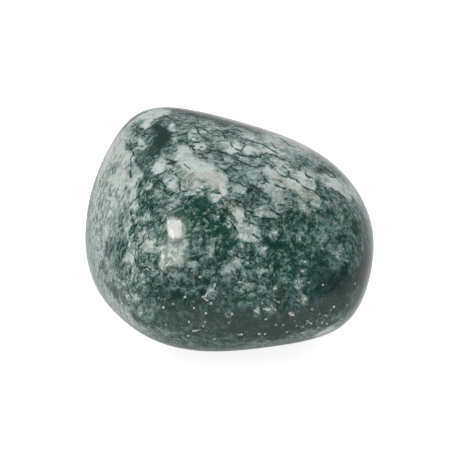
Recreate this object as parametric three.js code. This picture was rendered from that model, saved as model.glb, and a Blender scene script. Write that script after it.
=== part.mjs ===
// Tumbled tree agate: one polished pebble, lying on its flattest side.
//
// A broken lump of rock has a dozen or so flat faces. Rolling in a drum wears its edges and corners
// round and leaves the faces slightly crowned, with a few broad hollows where chips have almost worn
// away. The pebble is built in the same way: flat faces, blended into one smooth skin.
//
// Millimetres, +Z up. The origin is on the table, under the middle of the pebble's box.

import * as THREE from "three";

// The faces are given as they look from the front, from above the table by this many degrees.
const VIEW_ELEVATION = 35;

// The power that blends the faces: 2 would give a lump of clay, 30 a crisp cut stone.
const EDGE_SHARPNESS = 8;

// turn: degrees anticlockwise round the outline, from the right. lean: degrees towards the eye.
// reach: millimetres from the middle of the pebble to the face, before wear.
const FACES = [
  { name: "right end", turn: -8, lean: 8, reach: 19.6 },
  { name: "upper right shoulder", turn: 42, lean: 0, reach: 14.7 },
  { name: "long slope", turn: 74, lean: 3, reach: 12.1 },
  { name: "peak", turn: 108, lean: 0, reach: 21.0 },
  { name: "upper left flank", turn: 146, lean: -5, reach: 17.9 },
  { name: "left end", turn: 189, lean: 8, reach: 19.8 },
  { name: "lower left flank", turn: 236, lean: 0, reach: 18.2 },
  { name: "front foot", turn: 278, lean: 5, reach: 16.6 },
  { name: "lower right corner", turn: 330, lean: 0, reach: 20.8 },
  { name: "front", turn: 300, lean: 75, reach: 13.0 },
  { name: "left front", turn: 170, lean: 45, reach: 16.5 },
  { name: "top", turn: 82, lean: 45, reach: 13.4 },
  { name: "right front", turn: 20, lean: 45, reach: 16.0 },
  { name: "back", turn: 75, lean: -55, reach: 13.2 },
  { name: "back low", turn: 305, lean: -72, reach: 14.0 },
  { name: "back right", turn: 8, lean: -38, reach: 15.6 },
  { name: "back left", turn: 176, lean: -40, reach: 16.2 },
  { name: "back lower left", turn: 222, lean: -56, reach: 15.2 },
  { name: "back top", turn: 100, lean: -28, reach: 16.6 },
  { name: "underside", turn: 270, lean: -35, reach: 15.6 },
];

// Broad hollows that the drum hasn't quite worn out. across: the half-angle that a hollow spans from
// the middle, in degrees. depth: millimetres.
const HOLLOWS = [
  { name: "thumb hollow at the back", turn: 140, lean: -58, across: 16, depth: 0.6 },
  { name: "dent behind the right end", turn: 340, lean: -44, across: 11, depth: 0.35 },
  { name: "dip low on the front", turn: 312, lean: 48, across: 13, depth: 0.25 },
];

// The table's plane is this far under the middle: the flat that the pebble lies on is ground there.
const REST_DROP = 13.9;

// The rim of that flat is worn round within this height of the table.
const RIM_WEAR = 0.4;

// The skin is an icosahedron with each of its edges cut into this many parts, plus one.
const SKIN_DETAIL = 17;

const toViewAxes = new THREE.Matrix4().makeRotationX(THREE.MathUtils.degToRad(90 - VIEW_ELEVATION));

// The way that a turn and a lean point, in the part's own axes.
function outward({ turn, lean }) {
  const round = THREE.MathUtils.degToRad(turn);
  const near = THREE.MathUtils.degToRad(lean);
  return new THREE.Vector3(
    Math.cos(round) * Math.cos(near),
    Math.sin(round) * Math.cos(near),
    Math.sin(near),
  ).applyMatrix4(toViewAxes);
}

const grounds = FACES.map((face) => ({ normal: outward(face), reach: face.reach }));
const dents = HOLLOWS.map((hollow) => ({
  middle: outward(hollow),
  across: THREE.MathUtils.degToRad(hollow.across),
  depth: hollow.depth,
}));

// How far the worn faces are from the middle, along a unit direction.
function wornReach(direction) {
  let sum = 0;
  for (const { normal, reach } of grounds) {
    sum += Math.max(0, normal.dot(direction) / reach) ** EDGE_SHARPNESS;
  }
  return sum ** (-1 / EDGE_SHARPNESS);
}

// How much the hollows take off there.
function hollowDepth(direction) {
  let depth = 0;
  for (const dent of dents) {
    depth += dent.depth * Math.exp(-((dent.middle.angleTo(direction) / dent.across) ** 2));
  }
  return depth;
}

// The height of a point of the skin once the flat is ground: level inside, then a soft rim.
function groundHeight(height) {
  const above = height + REST_DROP;
  if (above >= RIM_WEAR) return above;
  if (above <= -RIM_WEAR) return 0;
  return (above + RIM_WEAR) ** 2 / (4 * RIM_WEAR);
}

function pebbleGeometry() {
  const skin = new THREE.IcosahedronGeometry(1, SKIN_DETAIL);
  const points = skin.attributes.position;
  const point = new THREE.Vector3();
  for (let i = 0; i < points.count; i += 1) {
    point.fromBufferAttribute(points, i).normalize();
    point.multiplyScalar(wornReach(point) - hollowDepth(point));
    points.setXYZ(i, point.x, point.y, groundHeight(point.z));
  }
  skin.computeVertexNormals();
  skin.computeBoundingBox();
  return skin;
}

function makePebble() {
  const geometry = pebbleGeometry();
  const { min, max } = geometry.boundingBox;
  geometry.translate(-(min.x + max.x) / 2, -(min.y + max.y) / 2, 0);
  const polish = new THREE.MeshStandardMaterial({ color: 0x5c7a70, roughness: 0.2, metalness: 0 });
  const pebble = new THREE.Mesh(geometry, polish);
  pebble.name = "pebble";
  return pebble;
}

const treeAgate = new THREE.Group();
treeAgate.add(makePebble());

export default treeAgate;
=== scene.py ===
"""A tumbled tree agate, photographed on a white table in soft studio light."""
import math

import bmesh
import bpy
import numpy as np
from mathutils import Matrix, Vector, noise
from mathutils.bvhtree import BVHTree
from mathutils.kdtree import KDTree


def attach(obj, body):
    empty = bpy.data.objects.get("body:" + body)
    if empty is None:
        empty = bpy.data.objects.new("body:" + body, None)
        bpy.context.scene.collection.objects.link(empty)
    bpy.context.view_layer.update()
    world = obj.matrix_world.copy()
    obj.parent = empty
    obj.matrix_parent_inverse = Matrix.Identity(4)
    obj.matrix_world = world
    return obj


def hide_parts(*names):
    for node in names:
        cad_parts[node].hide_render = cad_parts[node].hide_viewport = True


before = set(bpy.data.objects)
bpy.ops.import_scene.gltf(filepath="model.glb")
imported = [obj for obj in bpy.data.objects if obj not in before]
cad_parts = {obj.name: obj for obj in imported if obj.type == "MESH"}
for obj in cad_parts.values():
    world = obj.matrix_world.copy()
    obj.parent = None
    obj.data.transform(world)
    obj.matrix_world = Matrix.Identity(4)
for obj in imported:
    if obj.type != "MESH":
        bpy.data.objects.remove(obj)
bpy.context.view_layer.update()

MM = 0.001

# The photograph: its width and height in pixels, the pixels that the pebble's outline spans, the
# pixel in the middle of the outline, and the height that it is seen from, in degrees.
PHOTO_PX = 460
OUTLINE_PX = 288
OUTLINE_MIDDLE_PX = (230.0, 229.5)
VIEW_ELEVATION = 35
CAMERA_DISTANCE = 330 * MM
SENSOR_MM = 36

# The eye's own axes: right, up the picture and towards the eye.
TILT = math.radians(VIEW_ELEVATION)
RIGHT = Vector((1, 0, 0))
UP = Vector((0, math.sin(TILT), math.cos(TILT)))
NEAR = Vector((0, -math.cos(TILT), math.sin(TILT)))

# The rock is layered. Its layers lie square to this turn and lean, which count as the pebble's worn
# faces do: round the outline from the right, and towards the eye. A patch of moss is this many
# times as wide as it is thick, and the layers bend by this many millimetres.
LAYER_TURN = 310
LAYER_LEAN = 68
LAYER_RATIO = 2.4
LAYER_BEND = 2.2

# Marks of the photographed side. Each is an oval of the stone, given in the photograph's pixels: the
# middle across and down, half the length, half the width, the length's turn in degrees
# anticlockwise, and a value. Later marks lie over earlier ones.

# 0 is white quartz and 1 is solid moss, and past that the stone is darker still. Some marks also paint
# shade and light into the tone, as the groups below say.
TONE_BELOW = 1.0
TONE_MARKS = [
    # the stone's broad light and dark parts: its own tone, with painted shade, darker towards the
    # bottom and the lower right, and painted light, lighter on top and on the left flank
    (215, 130, 75, 20, -13, 0.55), (280, 150, 70, 16, -25, 0.4), (245, 168, 30, 20, -15, 0.6),
    (128, 145, 22, 10, 70, 0.42), (180, 172, 24, 20, -30, 0.42), (255, 205, 38, 24, -20, 0.72),
    (285, 182, 35, 18, -30, 0.42), (335, 205, 35, 16, -45, 0.74), (350, 245, 20, 45, 0, 1.0),
    (220, 255, 30, 24, 0, 1.0), (108, 215, 75, 22, 78, 0.36), (128, 240, 70, 14, 80, 0.6),
    (155, 190, 18, 26, 10, 0.78), (145, 250, 22, 35, 0, 0.64), (133, 298, 30, 16, -50, 0.66),
    (235, 318, 105, 30, -3, 1.34), (262, 325, 40, 16, 0, 1.6), (185, 300, 22, 18, 20, 1.5),
    (330, 282, 26, 24, 40, 1.5), (325, 306, 26, 12, 20, 1.38), (290, 252, 26, 24, 0, 1.15),
    (250, 278, 30, 22, 0, 0.98),
    # the rim: its own tone, with painted light where the lower and upper left rims mirror the pale
    # table and room, and painted shade along the top and the right
    (150, 113, 16, 5, 25, -0.1), (121, 140, 25, 5, 55, 0.0), (108, 160, 20, 6, 68, 0.1),
    (93, 215, 50, 6, 86, 0.4), (93, 270, 30, 5, -75, 0.6), (114, 303, 24, 7, -46, 0.35),
    (146, 331, 18, 5, -33, 0.55), (170, 335, 20, 7, -14, 0.9), (214, 343, 45, 6, 0, 1.15),
    (270, 343, 26, 4, 6, 0.85), (305, 335, 20, 5, 14, 0.75), (338, 320, 14, 6, 36, 0.6),
    (352, 308, 16, 5, 55, 0.95), (367, 255, 35, 5, -88, 1.5), (364, 215, 22, 6, -65, 0.7),
    (350, 190, 20, 6, -50, 0.2), (218, 118, 48, 6, -12, 1.35), (293, 144, 26, 6, -24, 0.3),
    (362, 278, 28, 9, 74, 1.8), (130, 319, 14, 4, -42, 0.3), (126, 132, 20, 4, 52, 0.0),
    (345, 287, 18, 12, 40, 1.7), (360, 232, 22, 6, -86, 1.3), (364, 226, 14, 5, -80, 1.2),
    (350, 300, 14, 7, 50, 1.2), (338, 172, 12, 4, -48, 1.0), (107, 160, 24, 6, 68, 0.05),
    (96, 198, 14, 5, 80, 0.2), (335, 304, 14, 8, 30, 1.6), (245, 127, 14, 4, -18, 1.1),
    (326, 332, 13, 4, 25, 0.1), (117, 310, 10, 3.5, -50, 0.45), (129, 129, 12, 5, 55, 0.1),
    (118, 150, 14, 5, 66, 0.08), (162, 112.5, 10, 4, 10, -0.05),
    # the upper left
    (159, 137, 18, 9.5, 80, 1.65), (149, 153, 9, 6, 60, 1.3), (142, 163, 9, 6, -60, 1.05),
    (139, 130, 11, 6, -25, 0.8), (139.5, 144, 7, 5, 80, 0.05), (131, 146, 4, 4, 0, 0.82),
    (148, 124, 5, 4, 60, -0.1), (159, 166, 9, 6, 60, -0.1), (172, 162, 5, 4, -20, 0.85),
    (133, 171, 8, 5, 0, 0.3), (149, 178, 6, 4.5, 0, 1.1), (147, 187, 6, 3.5, 20, 0.3),
    (158.5, 198, 6, 4.5, 40, 0.4), (146, 205, 7, 5, 70, 1.05), (156, 209, 6, 4, 0, 1.25),
    (145.5, 218, 9, 4.5, -5, 0.33), (128, 224, 4.5, 4, 0, 0.3), (171, 183, 10, 7.5, -50, 0.4),
    (175, 201, 8, 4, 30, 0.33), (165, 213, 5, 4.5, 0, 0.5), (163, 188, 4, 8, 0, 0.9),
    (114.5, 171.5, 6, 4, 80, 0.5), (110, 180, 5, 3.5, 80, 0.0), (120, 177, 6, 4, 70, 0.0),
    (123, 184, 4, 4, 0, 0.25), (131.5, 174.5, 4, 4, 0, 0.5), (133, 192, 9, 4, 85, 0.05),
    (126, 196, 6, 3, 75, 0.2), (123, 208, 9, 7, 70, 0.4), (104, 179, 8, 3, 80, 0.35),
    (168, 117.5, 4.5, 4, 0, 0.85), (172, 126, 4.5, 3.5, 0, 0.15), (186, 138, 7, 4, 80, 0.85),
    (194, 134, 7, 3.5, -70, 0.0), (199, 145, 5, 4, 0, 0.1), (173, 139, 5, 6, 0, 0.3),
    (209, 139.5, 8, 3.5, -28, 0.8), (222, 124, 7, 3, -10, 0.95), (229, 134, 9, 3.5, -5, 0.8),
    (224, 144, 5, 4.5, 0, 0.12), (203, 131, 3.5, 3, 0, 0.4), (215, 129, 4, 3, 0, 0.48),
    (152, 119, 9, 4, 25, 0.0), (122, 156, 8, 7, 80, 0.0), (138, 176.5, 6, 3, 20, 0.1),
    (120, 190, 5, 9, 0, 0.15), (136, 206, 5, 4, 0, 0.1), (200, 146, 8, 4, -15, -0.05),
    (125, 178, 5, 8, 20, 0.1), (148.5, 137, 4, 11, 0, 0.75), (171, 127, 4, 5, 0, 0.05),
    (122, 166, 5, 8, 0, 0.0), (119, 206, 5, 9, 0, 0.25), (143, 212, 5, 4, 0, 1.0),
    (163, 205, 6, 4, 30, 1.2), (185, 148, 8, 4, -10, 0.1), (124, 158, 6, 9, 80, 0.0),
    (132, 182, 5, 5, 0, 0.0), (112, 208, 8, 8, 80, 0.15), (128, 225, 5, 5, 0, 0.1),
    (165, 124, 4, 4, 0, 0.7), (192, 121, 7, 5, 0, 0.65), (143, 146, 5, 4, 0, 0.25),
    (164, 198, 7, 3.5, 35, 1.0), (122, 147, 7, 4, 70, 0.0), (118, 173, 12, 4, 80, 0.1),
    (168, 214, 6, 4, 40, 0.5), (142, 148, 4, 4, 0, 0.2), (147, 194, 4, 4, 0, 1.0),
    (107, 195, 7, 6, 80, 0.3), (201, 152, 9, 3.5, 0, 0.55), (219, 148, 5, 3.5, 0, 0.45),
    (236, 131, 5, 3, 0, 1.2), (118, 176, 10, 6, 80, -0.1), (134, 144, 3.5, 4, 0, 0.3),
    (202, 135, 4, 4, 0, 0.0), (165, 150, 5, 3.5, 0, 0.9), (154, 133, 3.5, 4, 0, 1.1),
    (200, 136, 9, 3, -10, 0.45), (169, 198, 4, 4, 0, 1.0), (167, 176, 5, 4, 0, 0.7),
    # the cream patch and what lies under it
    (187, 157, 11, 8, -35, 0.06), (203, 169, 15, 10, -35, 0.0), (219, 179, 10, 8, -40, 0.1),
    (222, 188, 5, 7, 0, -0.1), (190, 179, 14, 6, -15, 0.4), (196, 188, 6, 5, 0, 0.0),
    (213, 198, 7, 5, -10, 0.25), (204, 194, 4, 3, 0, 0.65), (182, 191, 3.5, 3, 0, 0.6),
    (199, 205, 14, 8, -12, 1.2), (204, 216, 10, 7, -65, 1.2), (219, 226, 12, 6, 42, 1.3),
    (222, 211, 7, 4, 0, 0.95), (213, 218, 6, 3.5, 10, 0.7), (205, 225, 4, 3.5, 0, 0.7),
    (191, 222, 5, 8, 0, 0.9), (227, 243, 8, 5, 10, 1.3), (231, 203, 4.5, 3.5, 0, 0.45),
    (190, 194, 6, 2.5, 0, 0.2), (229, 222, 5, 4, 60, 0.6), (209, 186, 6, 5, 0, 0.05),
    (218, 196, 5, 4, 0, 0.1), (171, 184, 8, 6, -40, 0.1), (166, 157, 10, 4, 15, 0.3),
    (174, 196, 8, 4, 0, 0.5), (197, 223, 8, 5, 0, 1.1), (182, 222, 8, 3, 0, 1.3),
    (201, 227, 5, 4, 0, 1.4), (186, 169, 7, 4, -35, 0.0), (206, 190, 5, 3.5, 0, 0.65),
    (175, 226, 6, 6, 0, 1.4), (203, 176, 8, 4, -20, 0.05), (227, 184, 4, 4, 0, 0.6),
    (184, 188, 6, 4, 0, 0.35), (204, 202, 4, 4, 0, 0.9),
    # the upper middle and right
    (220, 155, 8, 4.5, -60, 0.85), (210, 157, 5, 3.5, -20, 0.35), (230, 172, 7, 3.5, -5, 0.95),
    (229, 161, 5, 3.5, 0, 0.15), (240, 166, 8, 5, -30, 0.75), (244, 159, 6, 3, 0, 0.15),
    (236, 143, 4.5, 4, 0, 0.15), (249, 136.5, 7, 3.5, -25, 0.1), (257, 133, 5, 2.5, -25, 0.72),
    (251, 150, 8, 3.5, 5, -0.05), (277, 142, 13, 6, -20, 0.1), (295, 149, 14, 5, -22, 0.2),
    (276, 156, 3, 2.5, 0, 0.75), (261, 158.5, 8, 6.5, 0, 0.6), (253, 174, 7, 6, 50, 0.35),
    (279, 163, 6, 5, 0, 0.18), (271.5, 172.5, 9, 4.5, -10, 0.02), (287, 171, 5, 3, -80, 0.62),
    (265, 181, 5, 3.5, 0, 0.75), (298, 165, 6, 5.5, 0, 0.5), (306, 161, 7, 5, -20, 0.85),
    (302, 178, 7, 5.5, -45, 0.0), (310, 175, 4, 3.5, 0, 0.1), (322, 170, 10, 5.5, -28, 1.15),
    (333, 177, 5, 3, -40, 1.15), (334, 183.5, 19, 5.5, -22, 0.0), (294, 183, 12, 6, -30, 0.0),
    (307, 193, 9, 4.5, -25, 0.35), (316, 203, 6, 4, -70, 0.3), (305, 206.5, 6, 4, -60, 0.45),
    (320, 190, 8, 6, -60, 0.95), (273, 188, 7, 5, -20, 0.25), (279, 197, 7, 6, -50, 0.25),
    (292, 195, 6, 4, 0, 0.5), (253, 194, 9, 7, 80, 1.15), (250, 203, 9, 5, 0, 1.1),
    (238, 190, 6, 4, 0, 0.28), (261, 213, 5.5, 4.5, 0, 0.2), (240, 216, 9, 6, -70, 0.05),
    (234, 149, 7, 4, 0, -0.1), (345, 195, 6, 5, -50, 0.15), (336, 196, 15, 5, -38, 0.85),
    (352, 207, 8, 4, -50, 0.7), (314, 163, 6, 4, -30, 0.5), (313, 176, 5, 4, 0, 0.2),
    (327, 190, 6, 3, -20, 0.8), (270, 150, 12, 4, -25, 0.15), (237, 191, 6, 5, 0, 0.1),
    (264, 190, 4, 8, 30, 0.3), (311, 187, 5, 5, -40, 0.1), (296, 165, 4, 3, 0, 0.5),
    (334, 213, 9, 4, -35, 0.45), (288, 206, 6, 3, -30, 1.0), (295, 199, 5, 4, 0, 0.9),
    (218, 165, 6, 4, 0, 0.25), (306, 209, 5, 4, 0, 0.25), (288, 209, 6, 4, 0, 1.3),
    (326, 178, 4, 4, 0, 0.3), (322, 160, 8, 4, -30, 0.5), (250, 215, 4, 4, 0, 0.5),
    (267, 211, 4, 7, 0, 0.35), (283, 168, 6, 4, 0, 0.2), (267, 216, 6, 3, -10, 0.3),
    (325, 210, 7, 3.5, -10, 0.75),
    # the middle and right
    (245, 234, 8, 6, 0, 0.05), (252, 232, 9, 7, 0, 0.22), (274, 233, 5, 6, 0, 0.55),
    (266, 225, 6, 4, -60, 1.15), (277, 224, 6, 4, -70, 1.05), (294, 217, 11, 6, -5, 1.45),
    (311, 224, 7, 5, -60, 1.35), (285, 206, 10, 4, 0, 0.7), (329, 214, 6, 4, 30, 1.35),
    (320, 220, 6, 3.5, 0, 0.75), (334, 226, 4, 4, 0, 0.65), (358, 216, 6, 4, 0, 0.7),
    (302, 237, 6, 3.5, 0, 0.95), (323, 235, 6, 4.5, 80, 0.65), (325, 247, 5, 3, 0, 0.78),
    (343, 231, 4, 3.5, 0, 0.8), (343, 240, 6, 5, 0, 1.35), (337, 257, 10, 4.5, -60, 0.52),
    (263, 250.5, 6, 5.5, 0, 0.38), (265, 239, 5, 3.5, 0, 1.25), (277, 249, 17, 6.5, 62, 1.55),
    (252, 257, 10, 3.5, -85, 1.3), (241, 246, 3, 3, 0, 0.7), (299, 247, 9, 7, -30, 1.25),
    (296, 262, 6, 4, 0, 1.25), (353, 265, 9, 6, 80, 1.2), (318, 266, 12, 9, -45, 1.35),
    (335, 281, 7, 6, 0, 1.5), (350, 286, 8, 6, 0, 1.6), (312, 181, 4, 3, 0, 0.3),
    (336, 253, 5, 8, 10, 0.5), (256, 239, 8, 3.5, 0, 0.4), (338, 213, 7, 4, -35, 0.6),
    (237, 253, 10, 4.5, 0, 0.8), (262, 258, 6, 4, 0, 0.6), (240, 228, 5, 5, 0, 0.25),
    (237, 204, 5, 4, 0, 1.0), (273, 255, 5, 5, 0, 1.5), (278, 270, 6, 5, 0, 1.45),
    (320, 228, 6, 4, 0, 1.0), (253, 245, 6, 3, 0, 1.1), (337, 248, 5, 4, 0, 1.1),
    (234, 235, 4, 4, 0, 1.1), (286, 237, 5, 4, 0, 1.3), (250, 238, 5, 4, 0, 0.1),
    (334, 263, 6, 10, 30, 1.05), (285, 220, 4, 4, 0, 1.0), (274, 238, 4, 4, 0, 0.7),
    (255, 246, 4, 4, 0, 1.0), (345, 256, 4, 10, 0, 0.9), (262, 227, 5, 3, 0, 1.1),
    # the lower middle
    (230, 266, 11, 6, 45, 0.2), (242, 262, 5.5, 4, 0, 0.6), (258, 270, 7, 4, -15, 0.62),
    (266, 275, 4.5, 3.5, 0, 0.75), (246, 274, 6, 3.5, 0, 0.75), (247, 287, 9, 4.5, 12, 0.55),
    (264.5, 289, 5, 3.5, 0, 0.6), (298, 284, 7, 6, 70, 0.5), (304, 300, 5.5, 4.5, 0, 0.55),
    (257, 311, 4, 4, 0, 0.75), (270, 308, 7, 4, -25, 0.9), (283, 314, 9, 5, 80, 1.4),
    (292, 315, 3.5, 3, 0, 1.6), (283, 293, 6, 4.5, 0, 1.25), (229, 313, 5, 4, 80, 0.85),
    (222, 300, 11, 5.5, 65, 1.0), (205, 283, 8, 4, -15, 1.3), (194, 277, 8, 4.5, -20, 1.25),
    (212, 291, 5, 4, 40, 0.45), (210, 298, 5, 4, 0, 0.4), (207, 275, 5, 3.5, -10, 0.65),
    (176, 276.5, 4, 4, 0, 0.5), (166, 294, 5, 4.5, 0, 1.25), (198, 310, 12, 6, -25, 1.4),
    (203, 258, 8, 6, 0, 1.55), (222, 262, 6, 4, 0, 0.65), (271, 283, 5, 8, 0, 1.2),
    (195, 285, 12, 4, -20, 1.15), (295, 300, 6, 5, 0, 0.95), (205, 300, 14, 5, 0, 1.5),
    (330, 323, 8, 4, 20, 1.4), (252, 293, 9, 5, 0, 0.75), (190, 291, 9, 5, -20, 0.9),
    (227, 277, 5, 4, 0, 0.9), (250, 266, 5, 4, 0, 1.35), (267, 315, 7, 5, 0, 1.6),
    (175, 284, 5, 6, 0, 0.9), (246, 306, 9, 4, 0, 0.9), (310, 285, 6, 5, 0, 1.25),
    (212, 316, 5, 7, 0, 1.5), (262, 303, 8, 3, 0, 0.9), (212, 265, 6, 5, 0, 1.2),
    (284, 267, 4, 5, 0, 1.3), (293, 275, 4, 5, 0, 1.0), (220, 306, 5, 4, 0, 1.3),
    (213, 296, 4, 4, 0, 0.6),
    # the lower left
    (211, 249.5, 10, 4.5, 88, 0.35), (220, 256, 9, 5, 55, 1.3), (202, 254, 8, 4, -60, 0.95),
    (193, 264, 6.5, 4.5, 20, 0.25), (184, 265, 5, 3.5, 0, 0.8), (174, 254, 12, 10, 0, 0.6),
    (122, 247, 10, 5.5, 80, 0.95), (119, 266, 7, 5, 80, 0.95), (130, 258, 6, 5, 60, 0.12),
    (131, 247, 6, 3, 80, 0.35), (134.5, 228, 5, 4, 60, 1.0), (144.5, 232.5, 5, 4, 0, 0.38),
    (147.5, 245, 7, 5, 15, -0.05), (153, 226, 5, 4, 0, 1.2), (165, 241, 5, 4, 0, 0.75),
    (151, 262, 8, 6.5, 60, 1.2), (138, 264, 4, 4, 0, 0.75), (138, 276, 9, 4.5, -15, 0.5),
    (163, 262, 8, 4, 85, 0.4), (111, 277, 6, 4.5, -70, 0.38), (104, 270, 7, 4, -70, 0.85),
    (119, 298, 7, 3.5, -30, 0.88), (133, 298, 7, 5, -20, 0.48), (128, 309, 4, 3.5, 0, 0.35),
    (145, 311, 8, 3.5, -12, 0.48), (155, 285, 10, 8, 0, 1.15), (107, 232, 6, 3, 80, 0.12),
    (187, 240, 4, 10, 0, 0.6), (189, 270, 6, 3, 10, 0.7), (154, 256, 4, 4, 0, 0.35),
    (148, 248, 6, 5, -40, 0.1), (110, 248, 8, 6, 80, 0.95), (124, 276, 6, 5, 0, 0.85),
    (115, 292, 8, 4, -45, 1.35), (145, 314, 10, 6, -40, 0.6), (142, 279, 7, 4, -10, 0.4),
    (196, 242, 3.5, 7, 0, 0.5), (155, 246, 3.5, 5, 0, 0.45), (130, 266, 6, 5, 0, 0.4),
    (153, 309, 8, 5, 0, 0.9),
]

# How strongly the stone is mottled.
MOTTLING_BELOW = 1.0
MOTTLING_MARKS = [
    (235, 318, 115, 32, -3, 0.6), (340, 235, 30, 50, 0, 0.8), (288, 252, 30, 24, 5, 1.4),
    (208, 215, 26, 18, -40, 1.5), (332, 284, 28, 26, 40, 0.3), (150, 240, 28, 45, 0, 1.35),
    (157, 198, 26, 24, 0, 1.35), (207, 170, 28, 13, -35, 0.65), (159, 138, 17, 9, 80, 0.35),
    (112, 175, 62, 14, 74, 1.6),
]

# 0 is grey and 1 is a full leaf green.
GREEN_BELOW = 0.3
GREEN_MARKS = [
    (225, 320, 120, 30, 0, 0.35), (197, 208, 25, 14, -8, 1.25), (223, 233, 23, 14, -50, 1.1),
    (290, 256, 30, 21, 5, 0.85), (329, 192, 19, 9, -30, 0.7), (342, 214, 22, 14, -35, 0.7),
    (210, 141, 11, 7, -35, 0.8), (145, 244, 20, 18, 80, 1.4), (150, 199, 20, 14, 80, 0.75),
    (345, 265, 13, 10, 0, 0.6), (135, 283, 26, 18, -50, 0.55), (185, 135, 16, 12, -20, 0.5),
    (157, 139, 16, 10, 80, 0.15), (336, 290, 30, 26, 40, 0.1), (253, 196, 16, 12, 0, 0.1),
    (245, 170, 26, 14, -12, 0.1), (298, 284, 16, 12, 0, 0.6), (299, 317, 30, 12, 15, 0.1),
    (320, 165, 24, 10, -35, 0.15), (160, 286, 18, 14, 0, 0.2),
]

# Below 0 is a bluish and above 0 a pinkish quartz.
WARMTH_BELOW = 0.0
WARMTH_MARKS = [
    (118, 160, 34, 12, 68, 0.35), (197, 180, 17, 7, -10, 1.0), (213, 178, 15, 10, 0, 0.7),
    (190, 150, 13, 9, -25, 0.3), (282, 183, 14, 6, -35, 0.9), (303, 194, 13, 6, -35, 0.8),
    (230, 207, 9, 9, -40, 0.8), (264, 152, 6, 4, 0, 0.8), (281, 146, 8, 5, 0, 0.7),
    (303, 299, 6, 6, 0, 1.0), (211, 160, 13, 8, -30, -0.6), (176, 203, 11, 6, 28, -0.7),
    (274, 195, 11, 10, 0, -0.5), (245, 170, 24, 14, -12, -0.8), (262, 252, 10, 7, 0, -0.7),
    (228, 268, 12, 9, 20, -0.8), (193, 265, 10, 7, 15, -0.7), (253, 197, 14, 12, 0, -0.7),
    (236, 190, 8, 8, 0, -0.5), (243, 263, 9, 5, 0, -0.7),
]

# How thickly the pale flecks lie, which are partly pale grains and partly painted glints.
GLINT_BELOW = 0.0
GLINT_MARKS = [
    (230, 315, 105, 32, 0, 0.5), (130, 292, 20, 16, -50, 0.9), (262, 309, 16, 6, 0, 0.9),
    (206, 296, 10, 9, 0, 0.7), (150, 268, 8, 6, 0, 0.8), (316, 285, 20, 14, 30, 0.4),
    (310, 318, 24, 12, 20, 0.7), (236, 258, 14, 10, 0, 0.6), (176, 278, 7, 6, 0, 0.8),
]

# Pale flecks, partly pale grains and partly painted glints, and dark dots: across, down and radius.
GLINT_FLECKS = [
    (242, 246, 2.4), (231, 251, 1.4), (265, 248, 1.8), (229, 264, 1.5), (221, 249, 1.0),
    (240, 282, 1.6), (275, 288, 2.6), (232, 314, 1.4), (257, 311, 2.6), (291, 314, 2.0),
    (262, 303, 1.2), (204, 298, 1.5), (211, 303, 1.6), (200, 277, 1.5), (196, 217, 1.6),
    (203, 326, 1.5), (189, 322, 1.4), (205, 322, 1.3), (229, 323, 1.2), (214, 339, 1.5),
    (239, 335, 1.0), (246, 302, 1.0), (248, 263, 1.0), (127, 297, 2.2), (132, 295, 1.5),
    (137, 287, 1.6), (139, 298.5, 1.4), (122, 303, 1.3), (123, 284, 1.5), (119, 280, 1.3),
    (128, 250, 1.3), (155, 247, 1.2), (143, 264, 1.2), (147, 269, 1.2), (150, 267, 1.0),
    (173, 276, 2.2), (175, 281, 1.3), (173, 304, 1.3), (163, 307, 1.4), (181, 267, 1.3),
    (187, 265, 1.0), (185, 297, 1.3), (159, 298, 1.3), (166, 325, 1.2), (182, 328, 1.3),
    (152, 272, 1.0), (166, 299, 1.0), (309, 283, 1.7), (300, 239, 1.3), (323, 285, 1.2),
    (334, 307, 1.5), (326, 316, 1.4), (320, 314, 1.3), (308, 322, 1.5), (297, 326, 1.3),
    (303, 327, 1.0), (295, 321, 1.0), (327, 324, 1.2), (322, 323, 1.2), (347, 261, 1.3),
    (337, 257, 1.4), (333, 267, 1.3), (302, 271, 1.3), (306, 270, 1.0), (305, 262, 1.4),
    (305, 299, 1.6), (302, 333, 1.3), (283, 325, 1.3), (266, 319, 1.2), (265, 334, 1.3),
    (287, 332, 1.0), (276, 325, 1.0), (129, 303, 1.0), (164, 161, 1.3), (171, 209, 1.3),
    (218, 217, 1.2), (206, 226, 1.6), (355, 284, 1.2), (331, 327, 1.2), (162, 268, 1.5),
]
DOTS = [
    (170, 180, 1.5), (172.5, 172, 1.3), (176, 247, 1.6), (182, 245, 1.2), (167, 263, 1.5),
    (169, 259, 1.8), (228, 148, 1.2), (258, 133, 1.8), (259, 139.5, 1.1), (243, 243, 1.9),
    (261.5, 172.5, 1.5), (245, 175.5, 1.1), (264, 181, 1.3), (281, 182, 1.2), (285, 199, 1.4),
    (234, 217, 1.4), (244, 221, 1.4), (228, 224, 1.3), (228, 190, 1.6), (217, 171, 1.4),
    (309, 177, 1.6), (305.5, 174, 1.0), (300, 170, 1.3), (330, 236, 1.5), (333, 242, 1.2),
    (336, 247, 1.3), (309, 235, 1.4), (341, 236, 1.5), (344.5, 238, 1.2), (326, 230, 1.2),
    (354, 288, 1.2), (306, 293, 1.3), (235, 211, 1.0), (296, 179, 1.2), (144, 137, 1.4),
    (137, 279, 1.4), (143, 279, 1.0), (245, 140, 1.4), (250, 144, 1.0), (235, 126, 1.1),
    (137, 144, 1.1), (165, 139, 1.2), (203, 190, 1.7), (223, 187, 1.0),
]
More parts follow.
